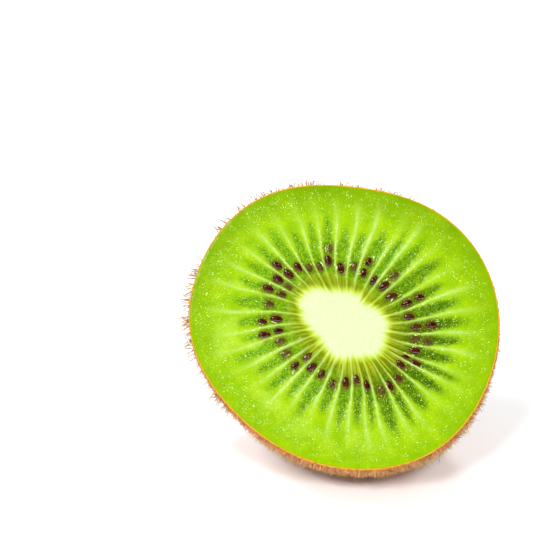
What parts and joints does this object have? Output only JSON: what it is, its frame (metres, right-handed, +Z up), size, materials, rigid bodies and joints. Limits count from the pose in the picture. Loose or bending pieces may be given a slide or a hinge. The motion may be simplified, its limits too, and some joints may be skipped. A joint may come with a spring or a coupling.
{
  "type": "kiwi fruit half",
  "caption": "Half of a fuzzy brown fruit cut straight across, with bright green flesh, a pale core, dark seeds and a stem scar; it lies tilted on a small flat spot.",
  "frame": {"origin": "on the ground, under the middle of the fruit's bounding box", "axes": "+Z up, +X to the right of the cut face, the cut face looks forward along -Y and 40 degrees up"},
  "size_m": [0.0546, 0.047, 0.0473],
  "materials": {
    "kiwi_half": "moist green cut flesh with a cream core and dark brown seeds, brown hairy skin outside"
  },
  "bodies": {
    "root": {"kiwi_half": "kiwi_half"}
  },
  "joints": []
}
